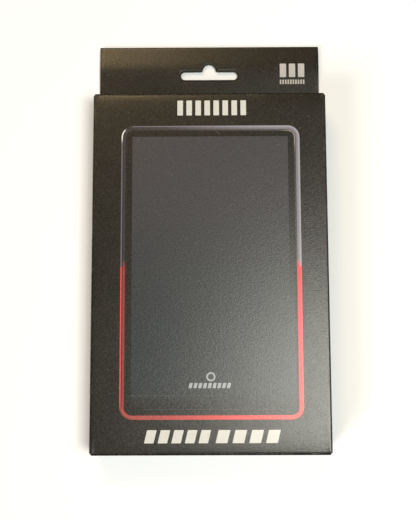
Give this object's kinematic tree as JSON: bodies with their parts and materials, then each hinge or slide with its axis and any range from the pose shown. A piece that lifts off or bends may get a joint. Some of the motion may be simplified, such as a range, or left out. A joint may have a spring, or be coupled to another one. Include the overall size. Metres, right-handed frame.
{
  "type": "hanging retail carton with a slab snap case",
  "caption": "Flat tuck-end carton with a slotted hang tab, holding a two-part snap case that protects a graded card slab.",
  "frame": {"origin": "under the middle of the whole outline, carton and hang tab together, on the surface the pack lies on", "axes": "+Z out of the printed front, +Y up the pack toward the hang tab, +X to the right of the print"},
  "size_m": [0.122, 0.2196, 0.021],
  "materials": {
    "printed_board": "satin",
    "flap_board": "satin",
    "foam": "matte",
    "ring_silver": "satin",
    "ring_red": "satin",
    "frame_black": "satin",
    "window_clear": "polished",
    "card": "matte"
  },
  "bodies": {
    "carton": {"back_panel": "printed_board", "hang_tab_ply": "printed_board", "front_panel": "printed_board", "left_side_panel": "printed_board", "right_side_panel": "printed_board", "glue_flap": "flap_board", "foam_left_rail": "foam", "foam_right_rail": "foam", "foam_base_pad": "foam", "foam_end_block": "foam"},
    "top_lid": {"top_lid_panel": "printed_board"},
    "top_tuck": {"top_tuck_flap": "flap_board"},
    "top_left_dust": {"top_left_dust_flap": "flap_board"},
    "top_right_dust": {"top_right_dust_flap": "flap_board"},
    "bottom_lid": {"bottom_lid_panel": "printed_board"},
    "bottom_tuck": {"bottom_tuck_flap": "flap_board"},
    "bottom_left_dust": {"bottom_left_dust_flap": "flap_board"},
    "bottom_right_dust": {"bottom_right_dust_flap": "flap_board"},
    "case_rear": {"case_ring_upper": "ring_silver", "case_ring_lower": "ring_red", "case_rear_frame": "frame_black", "case_rear_window": "window_clear", "dummy_card": "card"},
    "case_front": {"case_front_frame": "frame_black", "case_front_window": "window_clear"}
  },
  "joints": [
    {"name": "top_lid_crease", "type": "hinge", "parent": "carton", "child": "top_lid", "pos_m": [0, 0.076, 0.02075], "axis": [1, 0, 0], "range_deg": [0, 170]},
    {"name": "top_tuck_crease", "type": "hinge", "parent": "top_lid", "child": "top_tuck", "pos_m": [0, 0.076, 0.00145], "axis": [-1, 0, 0], "range_deg": [0, 34.5]},
    {"name": "top_right_dust_crease", "type": "hinge", "parent": "carton", "child": "top_right_dust", "pos_m": [0.06075, 0.0753, 0.0105], "axis": [0, 0, -1], "range_deg": [0, 85.5]},
    {"name": "top_left_dust_crease", "type": "hinge", "parent": "carton", "child": "top_left_dust", "pos_m": [-0.06075, 0.0753, 0.0105], "axis": [0, 0, 1], "range_deg": [0, 85.5]},
    {"name": "bottom_lid_crease", "type": "hinge", "parent": "carton", "child": "bottom_lid", "pos_m": [0, -0.1095, 0.02075], "axis": [-1, 0, 0], "range_deg": [0, 170]},
    {"name": "bottom_tuck_crease", "type": "hinge", "parent": "bottom_lid", "child": "bottom_tuck", "pos_m": [0, -0.1095, 0.00145], "axis": [1, 0, 0], "range_deg": [0, 34.5]},
    {"name": "bottom_right_dust_crease", "type": "hinge", "parent": "carton", "child": "bottom_right_dust", "pos_m": [0.06075, -0.1088, 0.0105], "axis": [0, 0, 1], "range_deg": [0, 85.5]},
    {"name": "bottom_left_dust_crease", "type": "hinge", "parent": "carton", "child": "bottom_left_dust", "pos_m": [-0.06075, -0.1088, 0.0105], "axis": [0, 0, -1], "range_deg": [0, 85.5]},
    {"name": "case_slide", "type": "slide", "parent": "carton", "child": "case_rear", "axis": [0, 1, 0], "range_m": [0, 0.0442]},
    {"name": "case_snap", "type": "slide", "parent": "case_rear", "child": "case_front", "axis": [0, 0, 1], "range_m": [0, 0.0035]}
  ],
  "couplings": [
    {"joint": "top_lid_crease", "follows": "case_slide", "rad_per_m": 67.114},
    {"joint": "top_tuck_crease", "follows": "case_slide", "rad_per_m": 13.423},
    {"joint": "top_right_dust_crease", "follows": "case_slide", "rad_per_m": 33.557},
    {"joint": "top_left_dust_crease", "follows": "case_slide", "rad_per_m": 33.557},
    {"joint": "bottom_tuck_crease", "follows": "bottom_lid_crease", "ratio": 0.2},
    {"joint": "bottom_right_dust_crease", "follows": "bottom_lid_crease", "ratio": 0.5},
    {"joint": "bottom_left_dust_crease", "follows": "bottom_lid_crease", "ratio": 0.5}
  ]
}
